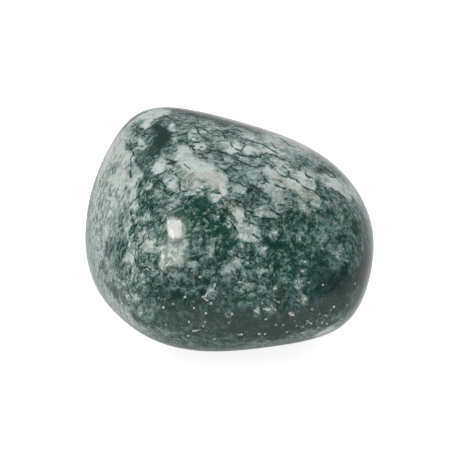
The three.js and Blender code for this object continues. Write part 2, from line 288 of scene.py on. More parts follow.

# Dark hairlines, and pale lines that are partly a chip's pale edges and partly painted glints, each by
# the pixels that it passes through.
HAIRLINES = [
    # the upper left
    [(151, 123), (155, 119.5), (163, 117)], [(164, 115), (168, 117), (172, 119)],
    [(167, 121), (172, 122), (178, 120)], [(175, 123), (180, 126)], [(168, 132), (170, 136)],
    [(172, 137), (178, 136), (184, 134), (188, 132)], [(178, 140), (184, 141), (188, 143)],
    [(126, 144), (130, 146), (134, 144), (137, 142)], [(130, 141), (132, 146), (130, 149)],
    [(132, 150), (134, 156)], [(131, 158), (131, 166)], [(136, 131), (142, 136), (147, 134)],
    [(137, 128), (143, 129)], [(136, 146), (142, 146)], [(153, 159), (158, 158)],
    [(167, 159), (171, 160), (175, 162)], [(167, 163.5), (174, 163)],
    [(152, 178), (157, 176), (161, 174), (166, 171)], [(175, 174), (178, 177), (180, 179)],
    [(179, 182), (180, 190), (184, 192), (187, 191)], [(185, 165), (189, 168)],
    [(155, 184), (158, 180), (162, 181), (164, 186)], [(141, 182), (139, 190), (139, 200)],
    [(139, 203), (142, 210), (143, 217)], [(137, 183), (135, 187)],
    [(166, 192), (170, 196), (173, 193)], [(170, 211), (175, 209), (181, 206)],
    [(130, 172), (131, 177)], [(131, 213), (132, 219), (134, 225)],
    [(138, 222), (142, 227), (148, 224)],
    # the upper middle
    [(191, 124), (196, 127), (200, 127.5)], [(201, 128), (207, 131), (210, 133)],
    [(217, 130), (222, 132), (227, 133.5)], [(211, 133), (213, 135), (219, 136)],
    [(197, 130), (199, 134), (204, 138), (210, 142)], [(195, 142), (199, 142.5)],
    [(190, 148), (191, 146), (194, 146)], [(201, 147), (206, 148), (211, 150)],
    [(193, 149), (196, 153), (201, 155), (206, 153), (212, 151), (218, 150)],
    [(218, 150), (223, 153), (229, 154.5), (232, 157), (238, 158)],
    [(204, 158), (205.5, 159.5), (208, 157)], [(231, 143), (232, 147), (236, 149), (240, 151)],
    [(241, 142), (243, 139), (246, 141)], [(244, 143), (245, 146), (242, 150)],
    [(232, 155), (238, 154), (242, 156), (248, 156)], [(216, 163), (223, 164), (230, 163)],
    [(239, 161), (244, 163), (250, 166), (256, 167), (264, 166)], [(220, 155), (224, 161)],
    [(216, 166), (221, 168), (225, 171), (228, 174)], [(225, 138), (224, 134)],
    [(227, 169), (231, 167), (235, 170), (238, 173)], [(247, 139), (252, 142)],
    # the long one under the long slope, and those beside it
    [(252, 142), (258, 143), (264, 145), (270, 149), (277, 153)],
    [(261, 155), (266, 153), (272, 155), (277, 157), (281, 159), (287, 160), (291, 163)],
    [(248, 156), (254, 157.5), (260, 157)], [(263, 160), (268, 158.5)],
    [(266, 163), (271, 166), (275, 169)], [(272, 162), (275, 165)],
    [(283, 166.5), (287, 169), (289, 172), (288, 175), (291, 178), (296, 180)],
    [(296, 180), (302, 185), (308, 189), (314, 191), (320, 196), (325, 199)],
    [(280, 138), (284, 141), (289, 145), (294, 147)], [(272, 144), (275, 147)],
    [(305, 173), (307, 176), (311, 177)], [(326, 173), (331, 177), (335, 177)],
    [(331, 188), (336, 191), (341, 195), (346, 199)], [(264, 177), (265, 180), (268, 182)],
    [(276, 185), (283, 188), (290, 190)], [(300, 165), (299, 170)], [(304, 164), (306, 167)],
    [(259, 181), (262, 184), (266, 182)], [(278, 173), (283, 176), (286, 177)],
    # the middle
    [(200, 188.5), (205, 190)], [(189, 197), (193, 196)], [(228, 192), (228, 188), (231, 188)],
    [(236, 193), (240, 194)], [(230, 180), (235, 183), (240, 183)], [(241, 184), (244, 187)],
    [(216, 193), (220, 193), (222, 196)], [(221, 200), (223, 204)], [(212, 203), (216, 204)],
    [(230, 202), (233.5, 206)], [(237, 201), (242, 203)], [(246, 187), (250, 190)],
    [(253, 185), (258, 188), (263, 189)], [(262, 192), (267, 195)], [(263, 197), (269, 201)],
    [(243, 207), (247, 211), (252, 212)], [(245, 212), (246, 217)], [(252, 216), (259, 217)],
    [(263, 219), (270, 218), (276, 220), (281, 218)], [(269, 208), (276, 213), (281, 216)],
    [(250, 223), (257, 225), (265, 226)], [(265, 227), (264, 233), (265, 240), (269, 243)],
    [(275, 224), (281, 227), (283, 230)], [(231, 222), (234, 227), (237, 231)],
    [(222, 209), (227, 213)], [(247, 192), (251, 191)], [(254, 235), (258, 238)],
    # below the middle
    [(241, 295), (250, 292), (257, 290)], [(235, 267), (238, 270), (240, 274), (238, 279)],
    [(237, 285), (240, 287)], [(252, 282), (256, 279)], [(236, 252), (238, 258), (243, 258)],
    [(165, 251), (166, 256)], [(217, 242), (215, 250), (217, 256)], [(251, 256), (249, 262)],
    [(243, 265), (248, 268)], [(232, 271), (234, 276)], [(346, 263), (347, 272)],
    [(128, 243), (125, 250), (121, 257)], [(134, 256), (136, 262)], [(131, 268), (129, 275)],
    [(118, 248), (119, 258)], [(139, 246), (143, 242)], [(141, 270), (146, 267), (151, 270)],
]
# Partly a chip's pale edges, partly painted glints.
PALE_GLINT_LINES = [
    [(205.5, 296), (207, 293.5), (211, 291), (213.5, 289), (215, 284.5)], [(209, 290.5), (214, 290)],
    [(203, 297.5), (207, 300.5)], [(272, 306), (275, 310)], [(264, 309), (269, 309.5)],
    [(254, 309.5), (258, 312)], [(275, 300), (279, 302)], [(289, 314), (293, 315)],
    [(307, 321), (311, 323.5)], [(126, 295), (128, 299)], [(194, 331), (199, 330)],
]



def srgb(red, green, blue):
    """A colour as it reads off a photograph, from 0 to 255, made linear."""
    def linear(level):
        level /= 255
        return level / 12.92 if level <= 0.04045 else ((level + 0.055) / 1.055) ** 2.4
    return (linear(red), linear(green), linear(blue), 1.0)


def grey(level):
    return (level, level, level, 1.0)


class Field:
    """A value that varies over the pebble. Sums on it add nodes to its graph."""

    def __init__(self, graph, socket):
        self.graph = graph
        self.socket = socket

    def __add__(self, other):
        return self.graph.math("ADD", self, other)

    def __radd__(self, other):
        return self.graph.math("ADD", other, self)

    def __sub__(self, other):
        return self.graph.math("SUBTRACT", self, other)

    def __rsub__(self, other):
        return self.graph.math("SUBTRACT", other, self)

    def __mul__(self, other):
        return self.graph.math("MULTIPLY", self, other)

    def __rmul__(self, other):
        return self.graph.math("MULTIPLY", other, self)

    def __truediv__(self, other):
        return self.graph.math("DIVIDE", self, other)

    def __rtruediv__(self, other):
        return self.graph.math("DIVIDE", other, self)

    def __abs__(self):
        return self.graph.math("ABSOLUTE", self)


class Graph:
    """Adds nodes to one node tree."""

    def __init__(self, tree):
        self.tree = tree

    def node(self, kind, settings, sockets, output=0):
        """One node: its settings first, then its sockets' values or links. Gives one output."""
        made = self.tree.nodes.new(kind)
        for name, value in settings.items():
            if name == "stops":
                set_stops(made.color_ramp, value)
            else:
                setattr(made, name, value)
        for name, value in sockets.items():
            if isinstance(value, Field):
                self.tree.links.new(value.socket, made.inputs[name])
            else:
                made.inputs[name].default_value = value
        return Field(self, made.outputs[output]) if len(made.outputs) else made

    def math(self, operation, *terms):
        return self.node("ShaderNodeMath", {"operation": operation}, dict(enumerate(terms)))

    def vector(self, operation, first, second):
        sockets = {0: first, 1: second}
        return self.node("ShaderNodeVectorMath", {"operation": operation}, sockets)

    def scaled(self, vector, scale):
        sockets = {0: vector, "Scale": scale}
        return self.node("ShaderNodeVectorMath", {"operation": "SCALE"}, sockets)

    def length(self, vector):
        return self.node("ShaderNodeVectorMath", {"operation": "LENGTH"}, {0: vector}, "Value")

    def along(self, vector, way):
        """How far the vector goes that way."""
        sockets = {0: vector, 1: way}
        return self.node("ShaderNodeVectorMath", {"operation": "DOT_PRODUCT"}, sockets, "Value")

    def part(self, vector, axis):
        return self.node("ShaderNodeSeparateXYZ", {}, {0: vector}, axis)

    def lumps(self, place, scale, detail, roughness=0.5, output="Fac"):
        """Soft lumps, from 0 to 1."""
        sockets = {"Vector": place, "Scale": scale, "Detail": detail, "Roughness": roughness}
        return self.node("ShaderNodeTexNoise", {}, sockets, output)

    def cells(self, place, scale, output="Distance"):
        sockets = {"Vector": place, "Scale": scale}
        return self.node("ShaderNodeTexVoronoi", {}, sockets, output)

    def step(self, value, low, high):
        """0 below low, 1 above high and a soft rise between."""
        sockets = {"Value": value, "From Min": low, "From Max": high}
        return self.node("ShaderNodeMapRange", {"interpolation_type": "SMOOTHSTEP"}, sockets)

    def ramp(self, value, stops):
        return self.node("ShaderNodeValToRGB", {"stops": stops}, {"Fac": value})

    def mix(self, share, first, second):
        """Colours: the first where share is 0, the second where it is 1."""
        return self.node("ShaderNodeMix", {"data_type": "RGBA"}, {0: share, 6: first, 7: second}, 2)

    def attribute(self, name, output="Fac"):
        return self.node("ShaderNodeAttribute", {"attribute_name": name}, {}, output)


def set_stops(ramp, stops):
    while len(ramp.elements) < len(stops):
        ramp.elements.new(1.0)
    for element, (place, colour) in zip(ramp.elements, stops):
        element.position = place
        element.color = colour


def new_material(name):
    """An empty material and the graph that fills it."""
    material = bpy.data.materials.new(name)
    material.use_nodes = True
    material.node_tree.nodes.clear()
    return material, Graph(material.node_tree)


def new_piece(name, mesh):
    piece = bpy.data.objects.new(name, mesh)
    bpy.context.collection.objects.link(piece)
    return piece


# The eye is moved this many times to bring the outline to its place. A highlight's place is worked
# out from the skin within this distance.
AIM_ROUNDS = 3
MIRROR_REACH = 1.5 * MM


class Photograph:
    """Where the photograph was taken from, and what each of its pixels looks along."""

    def __init__(self, points):
        """Moves the eye sideways until the outline of the points is where the photograph has it."""
        self.eye = Vector((points.min(0) + points.max(0)) / 2) + NEAR * CAMERA_DISTANCE
        for _ in range(AIM_ROUNDS):
            low, high = self.outline(points)
            self.pixel = (high.x - low.x) / OUTLINE_PX
            middle = (low + high) / 2
            aim = Vector((OUTLINE_MIDDLE_PX[0] - PHOTO_PX / 2, PHOTO_PX / 2 - OUTLINE_MIDDLE_PX[1]))
            off = (middle - aim * self.pixel) * CAMERA_DISTANCE
            self.eye += RIGHT * off.x + UP * off.y

    def outline(self, points):
        """The lowest and highest slopes of the sight lines to the points, across and up."""
        from_eye = points - np.array(self.eye)
        ahead = -from_eye @ np.array(NEAR)
        across = from_eye @ np.array(RIGHT) / ahead
        up = from_eye @ np.array(UP) / ahead
        return Vector((across.min(), up.min())), Vector((across.max(), up.max()))

    def sight(self, x, y):
        """The way that the pixel x across and y down looks."""
        across = (x - PHOTO_PX / 2) * self.pixel
        up = (PHOTO_PX / 2 - y) * self.pixel
        return (RIGHT * across + UP * up - NEAR).normalized()

    def lens(self):
        return SENSOR_MM / (PHOTO_PX * self.pixel)

    def spot(self, surface, x, y):
        """The point of the surface that the pixel shows."""
        hit = surface.ray_cast(self.eye, self.sight(x, y))[0]
        if hit is None:
            raise ValueError(f"the pixel {x}, {y} is off the pebble")
        return hit

    def mirrored(self, surface, x, y):
        """The point that the pixel shows, and the way that the surface mirrors it."""
        hit = self.spot(surface, x, y)
        normal = Vector()
        for _, face_normal, _, away in surface.find_nearest_range(hit, MIRROR_REACH):
            normal += face_normal * (MIRROR_REACH - away)
        return hit, self.sight(x, y).reflect(normal.normalized())


def add_camera(photograph):
    data = bpy.data.cameras.new("camera")
    data.sensor_width = SENSOR_MM
    data.lens = photograph.lens()
    camera = new_piece("camera", data)
    camera.location = photograph.eye
    camera.rotation_euler = (-NEAR).to_track_quat("-Z", "Y").to_euler()
    bpy.context.scene.camera = camera


def vertex_places(mesh):
    places = np.empty(len(mesh.vertices) * 3, np.float32)
    mesh.vertices.foreach_get("co", places)
    return places.reshape(-1, 3).astype(float)


# Corners of the solid's loose triangles that are this close are one corner.
MERGE_DISTANCE = 0.001 * MM


def merged_copy(node, name):
    """The CAD solid's skin as one closed mesh."""
    source = bmesh.new()
    source.from_mesh(node.data)
    bmesh.ops.remove_doubles(source, verts=source.verts, dist=MERGE_DISTANCE)
    corners = [vertex.co.copy() for vertex in source.verts]
    source.verts.index_update()
    faces = [[vertex.index for vertex in face.verts] for face in source.faces]
    source.free()
    mesh = bpy.data.meshes.new(name)
    mesh.from_pydata(corners, [], faces)
    return new_piece(name, mesh)


SKIN_SUBDIVISIONS = 2

# The polish's relief, in millimetres and, for a share, from 0 to 1.
RELIEF = {
    "Front Swell Width": 7.0,
    "Front Swell Length": 4.0,
    "Front Swell Height": 0.3,
    "Flank Swell Width": 8.0,
    "Flank Swell Length": 8.0,
    "Flank Swell Height": 0.2,
    "Foot Swell Width": 8.0,
    "Foot Swell Length": 6.0,
    "Foot Swell Height": 0.1,
    "Wave Width": 3.5,
    "Wave Height": 0.025,
    "Ripple Width": 0.9,
    "Ripple Height": 0.004,
    "Pit Spacing": 1.5,
    "Pit Radius": 0.22,
    "Pit Depth": 0.025,
    "Pit Share": 0.1,
    "Flat Guard": 0.05,
    "Flat Edge": 0.9,
}
SWELL_PIXELS = {"Front": (172, 252), "Flank": (112, 158), "Foot": (110, 290)}

# How many octaves of finer lumps the waves and the ripples have. A pit whose lot is within this of
# the share is shallower.
WAVE_OCTAVES = 1.0
RIPPLE_OCTAVES = 2.0
PIT_LOT_EDGE = 0.05


def relief_tree():
    """An empty tree with a named input for each of the relief's sizes."""
    tree = bpy.data.node_groups.new("polish relief", "GeometryNodeTree")
    tree.interface.new_socket("Geometry", in_out="INPUT", socket_type="NodeSocketGeometry")
    for name, value in RELIEF.items():
        socket = tree.interface.new_socket(name, in_out="INPUT", socket_type="NodeSocketFloat")
        socket.default_value = value
    tree.interface.new_socket("Geometry", in_out="OUTPUT", socket_type="NodeSocketGeometry")
    return tree


def swell_shape(graph, place, middle, size, name):
    """A broad swell round the middle: 1 there, falling away to 0."""
    off = graph.vector("SUBTRACT", place, middle / MM)
    squares = 0.0
    for way, span in [(RIGHT, "Width"), (UP, "Length"), (NEAR, "Width")]:
        reach = graph.along(off, way) / size[f"{name} Swell {span}"]
        squares = reach * reach + squares
    return graph.math("EXPONENT", squares * -0.5)


def wave_lift(graph, place, size, kind, octaves):
    """Lumps of one width, as high above the skin as below it."""
    lumps = graph.lumps(place, 1 / size[f"{kind} Width"], octaves)
    return (lumps * 2 - 1) * size[f"{kind} Height"]


def pit_depth(graph, place, size):
    """Scattered polish pits: each cell of the skin draws a lot, and a few have a pit."""
    cell_scale = 1 / size["Pit Spacing"]
    from_pit = graph.cells(place, cell_scale) * size["Pit Spacing"]
    lot = graph.part(graph.cells(place, cell_scale, "Color"), "X")
    has_pit = graph.step(size["Pit Share"] - lot, 0.0, PIT_LOT_EDGE)
    pit = 1 - graph.step(from_pit, 0.0, size["Pit Radius"])
    return pit * has_pit * size["Pit Depth"]


def relief_nodes(material, swell_middles):
    """Moves the skin in and out: swells, long waves, fine ripples and scattered polish pits."""
    tree = relief_tree()
    graph = Graph(tree)
    entry = tree.nodes.new("NodeGroupInput")
    size = {name: Field(graph, entry.outputs[name]) for name in RELIEF}
    metres = graph.node("GeometryNodeInputPosition", {}, {})
    place = graph.vector("MULTIPLY", metres, (1 / MM,) * 3)

    lift = wave_lift(graph, place, size, "Wave", WAVE_OCTAVES)
    lift = lift + wave_lift(graph, place, size, "Ripple", RIPPLE_OCTAVES)
    for name, middle in swell_middles.items():
        lift = lift + swell_shape(graph, place, middle, size, name) * size[f"{name} Swell Height"]
    lift = lift - pit_depth(graph, place, size)
    off_table = graph.step(graph.part(place, "Z"), size["Flat Guard"], size["Flat Edge"])

    outward = graph.node("GeometryNodeInputNormal", {}, {})
    moved = graph.node("GeometryNodeSetPosition", {}, {
        "Geometry": Field(graph, entry.outputs["Geometry"]),
        "Offset": graph.scaled(outward, lift * off_table * MM)})
    smooth = graph.node("GeometryNodeSetShadeSmooth", {}, {"Geometry": moved})
    whole = graph.node("GeometryNodeRealizeInstances", {}, {"Geometry": smooth})
    dressed = graph.node("GeometryNodeSetMaterial", {}, {"Geometry": whole, "Material": material})
    leaving = tree.nodes.new("NodeGroupOutput")
    tree.links.new(dressed.socket, leaving.inputs["Geometry"])
    return tree


def surface_of(mesh):
    points = [vertex.co for vertex in mesh.vertices]
    return BVHTree.FromPolygons(points, [tuple(face.vertices) for face in mesh.polygons])


def polished_skin(node, material, photograph):
    """The pebble's skin: the CAD solid's facets rounded off, with the polish's relief."""
    piece = merged_copy(node, "pebble_skin")
    surface = surface_of(piece.data)
    swells = {name: photograph.spot(surface, *pixel) for name, pixel in SWELL_PIXELS.items()}
    rounding = piece.modifiers.new("rounding", "SUBSURF")
    rounding.levels = SKIN_SUBDIVISIONS
    rounding.render_levels = SKIN_SUBDIVISIONS
    relief = piece.modifiers.new("relief", "NODES")
    relief.node_group = relief_nodes(material, swells)
    for socket in relief.node_group.interface.items_tree:
        if socket.in_out == "INPUT" and socket.name in RELIEF:
            relief[socket.identifier] = RELIEF[socket.name]
    graph = bpy.context.evaluated_depsgraph_get()
    skin = bpy.data.meshes.new_from_object(piece.evaluated_get(graph))
    piece.modifiers.clear()
    piece.data = skin
    return piece


# A mark is full within this share of its oval, has gone at the next, and reaches this many times
# its lesser half-width into the stone.
MARK_CORE = 0.6
MARK_END = 1.4
MARK_DEPTH = 3.0

# How far the marks' edges stray, and over what distances.
STRAY_WIDTHS = (2.0 * MM, 0.8 * MM)
STRAY_SHARE = 0.22
STRAY_SEED = 2

# The skin is seen where it faces the eye more than this, from not at all to fully.
SEEN_FACING = (-0.2, 0.1)

ATTRIBUTE_VALUES = {"FLOAT": "value", "FLOAT_VECTOR": "vector"}


class Marks:
    """Puts the photographed side's marks on the skin, as values at its points."""

    def __init__(self, mesh, photograph):
        self.mesh = mesh
        self.photograph = photograph
        self.points = vertex_places(mesh)
        self.surface = surface_of(mesh)
        self.pixel = photograph.pixel * CAMERA_DISTANCE
        self.strayed = self.points + strays(self.points)

    def spot(self, x, y):
        return self.photograph.spot(self.surface, x, y)

    def oval(self, x, y, half_length, half_width, turn):
        """1 in the middle of the oval and 0 well outside it."""
        away = (self.strayed - np.array(self.spot(x, y))) / self.pixel
        across = away @ np.array(RIGHT)
        up = away @ np.array(UP)
        near = away @ np.array(NEAR)
        cosine, sine = math.cos(math.radians(turn)), math.sin(math.radians(turn))
        along = (across * cosine + up * sine) / half_length
        aside = (up * cosine - across * sine) / half_width
        deep = near / (MARK_DEPTH * min(half_length, half_width))
        reach = np.sqrt(along ** 2 + aside ** 2 + deep ** 2)
        edge = np.clip((MARK_END - reach) / (MARK_END - MARK_CORE), 0, 1)
        return edge * edge * (3 - 2 * edge)

    def paint(self, name, below, marks):
        values = np.full(len(self.points), below)
        for *oval, value in marks:
            values += (value - values) * self.oval(*oval)
        self.store(name, values)

    def nearest(self, stops):
        """For each of the skin's points, which of the stops is nearest and how far it is."""
        tree = KDTree(len(stops))
        for i, stop in enumerate(stops):
            tree.insert(stop, i)
        tree.balance()
        found = [tree.find(point) for point in self.points]
        return np.array([which for _, which, _ in found]), np.array([away for _, _, away in found])

    def specks(self, name, specks):
        """The way from the nearest speck's middle, and how far it is, both in the speck's radii."""
        middles = np.array([self.spot(x, y) for x, y, _ in specks])
        radii = np.array([radius * self.pixel for _, _, radius in specks])
        which, away = self.nearest(middles)
        self.store(name + "_way", (self.points - middles[which]) / radii[which, None], "FLOAT_VECTOR")
        self.store(name + "_away", away / radii[which])

    def lines(self, name, lines):
        """How far the nearest line is, and how far aside of its run, in millimetres."""
        stops, asides = [], []
        for line in lines:
            spots = [self.spot(*pixel) for pixel in dense(line)]
            stops += spots
            for before, after in zip(spots[:1] + spots, spots[1:] + spots[-1:]):
                asides.append((after - before).cross(NEAR).normalized())
        which, away = self.nearest(stops)
        off = self.points - np.array(stops)[which]
        self.store(name + "_aside", (off * np.array(asides)[which]).sum(1) / MM)
        self.store(name + "_away", away / MM)

    def seen(self, name):
        """1 where the photograph shows the skin and 0 where it doesn't."""
        normals = np.empty(len(self.points) * 3, np.float32)
        self.mesh.vertices.foreach_get("normal", normals)
        facing = normals.reshape(-1, 3) @ np.array(NEAR)
        self.store(name, np.interp(facing, SEEN_FACING, (0, 1)))

    def store(self, name, values, kind="FLOAT"):
        layer = self.mesh.attributes.new(name, kind, "POINT")
        layer.data.foreach_set(ATTRIBUTE_VALUES[kind], values.astype(np.float32).ravel())


def strays(points):
    """A wandering shift for each point, so that no mark keeps a plain outline."""
    noise.seed_set(STRAY_SEED)
    shifts = np.zeros_like(points)
    for width in STRAY_WIDTHS:
        for shift, point in zip(shifts, points):
            shift += noise.noise_vector(Vector(point) / width) * (width * STRAY_SHARE)
    return shifts


def dense(line):
    """The line's pixels with more between them, one pixel apart."""
    pixels = []
    for (x0, y0), (x1, y1) in zip(line, line[1:]):
        count = max(1, round(math.hypot(x1 - x0, y1 - y0)))
        pixels += [(x0 + (x1 - x0) * i / count, y0 + (y1 - y0) * i / count) for i in range(count)]
    return pixels + [line[-1]]


def mark_skin(mesh, photograph):
    marks = Marks(mesh, photograph)
    marks.paint("tone", TONE_BELOW, TONE_MARKS)
    marks.paint("mottling", MOTTLING_BELOW, MOTTLING_MARKS)
    marks.paint("greenness", GREEN_BELOW, GREEN_MARKS)
    marks.paint("warmth", WARMTH_BELOW, WARMTH_MARKS)
    # Where the painted glints and pale flecks lie, and the painted glint specks themselves.
    marks.paint("sparkle", GLINT_BELOW, GLINT_MARKS)
    marks.specks("crumb", GLINT_FLECKS)
    marks.specks("dot", DOTS)
    marks.lines("hairline", HAIRLINES)
    marks.lines("pale", PALE_GLINT_LINES)
    marks.seen("seen")


def layer_turn():
    """Turns +Z to the way that the rock's layers face."""
    turn, lean = math.radians(LAYER_TURN), math.radians(LAYER_LEAN)
    flat = math.cos(lean)
    facing = RIGHT * math.cos(turn) * flat + UP * math.sin(turn) * flat + NEAR * math.sin(lean)
    return facing.to_track_quat("Z", "Y").to_euler()


# The stone's textures: what each follows, how many of its lumps lie along a millimetre, how many
# octaves of finer lumps are on them, and how rough these leave it.
TEXTURES = {
    "bends": ("layers", 0.35, 2.0, 0.5),
    "hidden clouds": ("layers", 0.16, 3.0, 0.55),
    "hidden drifts": ("felt", 0.4, 3.0, 0.55),
    "hidden greens": ("layers", 0.2, 2.0, 0.5),
    "clouds": ("felt", 0.55, 2.0, 0.5),
    "flakes": ("felt", 1.1, 4.0, 0.6),
    "worms": ("felt", 0.9, 3.0, 0.6),
    "worm places": ("other felt", 1.3, 2.0, 0.5),
    "threads": ("other felt", 1.3, 3.0, 0.6),
    "thread places": ("felt", 1.8, 2.0, 0.5),
    "wobbles": ("felt", 1.6, 3.0, 0.6),
    "hues": ("felt", 0.9, 3.0, 0.6),
    "crumbs": ("stone", 1 / 0.35, 2.0, 0.5),
    "mottles": ("stone", 2.5, 2.0, 0.5),
    "fine wobbles": ("stone", 4.0, 2.0, 0.5),
    "grain": ("stone", 5.0, 2.0, 0.6),
}

# The other felt is the same felt from this many millimetres away.
ELSEWHERE = (31.0, 17.0, 5.0)


class Rock(Graph):
    """Adds the stone's own textures to its material's graph."""

    def __init__(self, tree):
        super().__init__(tree)
        stone = self.scaled(self.node("ShaderNodeTexCoord", {}, {}, "Object"), 1 / MM)
        layers = self.node("ShaderNodeMapping", {"vector_type": "TEXTURE"}, {
            "Vector": stone, "Rotation": layer_turn(), "Scale": (1, 1, 1 / LAYER_RATIO)})
        self.places = {"stone": stone, "layers": layers}
        felt = self.vector("ADD", layers, self.scaled(self.coloured("bends"), LAYER_BEND))
        self.places["felt"] = felt
        self.places["other felt"] = self.vector("ADD", felt, ELSEWHERE)
        self.textures = {}
        self.seen = self.attribute("seen")

    def texture(self, name):
        """One of the stone's textures, as far above 0 as below it."""
        if name not in self.textures:
            follows, *lumps = TEXTURES[name]
            self.textures[name] = self.lumps(self.places[follows], *lumps) - 0.5
        return self.textures[name]

    def coloured(self, name):
        """Three textures in one, as far above 0 as below it."""
        follows, *lumps = TEXTURES[name]
        lumps = self.lumps(self.places[follows], *lumps, output="Color")
        return self.vector("SUBTRACT", lumps, (0.5,) * 3)

    def marked(self, name, hidden):
        """The painted marks' value where the photograph shows the skin, and hidden where it doesn't."""
        return hidden + (self.attribute(name) - hidden) * self.seen


# Where the photograph doesn't show the skin, moss of this tone lies round whiter drifts.
HIDDEN_MOSS = 1.15
HIDDEN_DRIFT = 1.1
HIDDEN_DRIFT_EDGE = (-0.1, 0.2)
HIDDEN_GREEN = 0.9
HIDDEN_GREEN_EDGE = (-0.1, 0.15)


def moss_tone_and_painted_shade(rock):
    """0 in white quartz and 1 in solid moss, with the painted shade and light of the photographed
    side's marks.
    """
    drifts = rock.texture("hidden clouds") + rock.texture("hidden drifts")
    hidden = HIDDEN_MOSS - rock.step(drifts, *HIDDEN_DRIFT_EDGE) * HIDDEN_DRIFT
    return rock.marked("tone", hidden)


# A level is how light the stone is. White quartz has this one, and moss, with the painted shade in the
# tone, lowers it by this much.
QUARTZ_LEVEL = 0.97
MOSS_DEPTH = 0.54

# How far flakes, clouds, mottles and grain change the level. Quartz is mottled by the first of the
# two shares and moss by both.
FLAKE_CONTRAST = 0.22
CLOUD_CONTRAST = 0.4
MOTTLE_CONTRAST = 0.6
GRAIN_CONTRAST = 0.25
MOTTLED_QUARTZ = 0.47
MOTTLED_MOSS = 0.47

# The flakes' edges, how crumbly they are, and how much more of them white quartz has than moss.
FLAKE_EDGE = (-0.03, 0.03)
FLAKE_CRUMBS = 0.22
FLAKE_TONE = 0.03


def mottled_level(rock, tone, mossy):
    """The stone's level, broken up by flakes, clouds and mottles."""
    flakes = rock.texture("flakes") + rock.texture("crumbs") * FLAKE_CRUMBS + (0.5 - tone) * FLAKE_TONE
    pattern = (rock.step(flakes, *FLAKE_EDGE) - 0.5) * FLAKE_CONTRAST
    pattern = pattern + rock.texture("clouds") * CLOUD_CONTRAST
    pattern = pattern + rock.texture("mottles") * MOTTLE_CONTRAST
    strength = rock.attribute("mottling") * (MOTTLED_QUARTZ + mossy * MOTTLED_MOSS)
    return QUARTZ_LEVEL - tone * MOSS_DEPTH + pattern * strength


# Strokes of moss run along the middle value of a texture: from full to gone they are this far from
# it. They lie where another texture is this high, which is more of the moss than of the quartz.
STROKE_EDGES = {"worm": (0.03, 0.06), "thread": (0.03, 0.07)}
STROKE_PLACES = {"worm": (0.11, 0.16), "thread": (0.1, 0.15)}
MOSSY_STROKES = 0.1

# A dark mark lowers the level by this share of it, and by this much more.
STROKE_DARKNESS = (0.45, 0.05)
PAINTED_DARKNESS = (0.62, 0.02)


def strokes(rock, mossy, kind):
    """1 on the strokes of that kind and 0 off them."""
    run = 1 - rock.step(abs(rock.texture(kind + "s")), *STROKE_EDGES[kind])
    place = rock.texture(kind + " places") + mossy * MOSSY_STROKES
    return run * rock.step(place, *STROKE_PLACES[kind])


def darkened(level, marks, darkness):
    share, more = darkness
    return level - marks * (level * share + more)


# A painted speck's edge, in its radii, and a painted line's, in millimetres: from full to gone, how
# far the edge wobbles, and how far from the marks' own points they can lie.
SPECK_EDGE = (0.3, 1.1)
SPECK_WOBBLE = 3.0
SPECK_NEAR = (2.0, 2.6)
LINE_EDGE = (0.04, 0.13)
LINE_WOBBLE = 0.55
LINE_NEAR = (0.16, 0.26)


def on_specks(rock, name):
    """1 on the painted specks of that name and 0 off them."""
    away = rock.length(rock.attribute(name + "_way", "Vector"))
    away = away + rock.texture("fine wobbles") * SPECK_WOBBLE
    near = 1 - rock.step(rock.attribute(name + "_away"), *SPECK_NEAR)
    return (1 - rock.step(away, *SPECK_EDGE)) * near


def on_lines(rock, name):
    """1 on the painted lines of that name and 0 off them."""
    aside = abs(rock.attribute(name + "_aside")) + rock.texture("wobbles") * LINE_WOBBLE
    near = 1 - rock.step(rock.attribute(name + "_away"), *LINE_NEAR)
    return (1 - rock.step(aside, *LINE_EDGE)) * near


# From this tone on, the stone is mossy through and through.
MOSSY_TONE = 0.6


def stone_level(rock, tone):
    """From 0 in the darkest moss to 1 in the whitest quartz, with the tone's painted shade and light.
    """
    mossy = rock.step(tone, 0.0, MOSSY_TONE)
    level = mottled_level(rock, tone, mossy)
    thin = rock.math("MAXIMUM", strokes(rock, mossy, "worm"), strokes(rock, mossy, "thread"))
    level = darkened(level, thin * mossy, STROKE_DARKNESS)
    dark = rock.math("MAXIMUM", on_lines(rock, "hairline"), on_specks(rock, "dot"))
    level = darkened(level, dark, PAINTED_DARKNESS)
    return level + rock.texture("grain") * GRAIN_CONTRAST


# The stone's colours, from below the darkest moss to the whitest quartz. Their scale reaches this
# many levels down from white.
COLOUR_SPAN = 0.88
STONE_COLOURS = [
    (0.0, srgb(10, 32, 29)),
    (0.12, srgb(22, 45, 41)),
    (0.21, srgb(33, 56, 52)),
    (0.34, srgb(61, 82, 78.5)),
    (0.525, srgb(98, 123, 118)),
    (0.68, srgb(131, 150, 146)),
    (0.825, srgb(156, 171, 168)),
    (1.0, srgb(206, 216, 213)),
]

# How far red, green and blue stray, and how much less they do in white quartz than in dark moss.
HUE_STRAYS = (1.0, 0.15, 0.4)
HUE_STRENGTH = 1.1
HUE_LOSS = 0.75
HUE_LOSS_LEVELS = (0.2, 0.9)

# Moss greener than grey, quartz warmer and colder than grey, and the share that each can have. The
# green is lost between these levels.
LEAF_GREEN = srgb(22, 84, 67)
GREEN_SHARE = 0.34
GREEN_LOSS_LEVELS = (0.0, 0.8)
PINK_QUARTZ = srgb(186, 168, 156)
BLUE_QUARTZ = srgb(150, 172, 182)
QUARTZ_SHARE = 0.35
QUARTZ_CRUMBS = 2.0


def strayed_hues(rock, colour, level):
    loss = rock.step(level, *HUE_LOSS_LEVELS) * HUE_LOSS
    hues = rock.vector("MULTIPLY", rock.coloured("hues"), HUE_STRAYS)
    hues = rock.vector("ADD", rock.scaled(hues, HUE_STRENGTH - loss), (1.0,) * 3)
    return rock.vector("MULTIPLY", colour, hues)


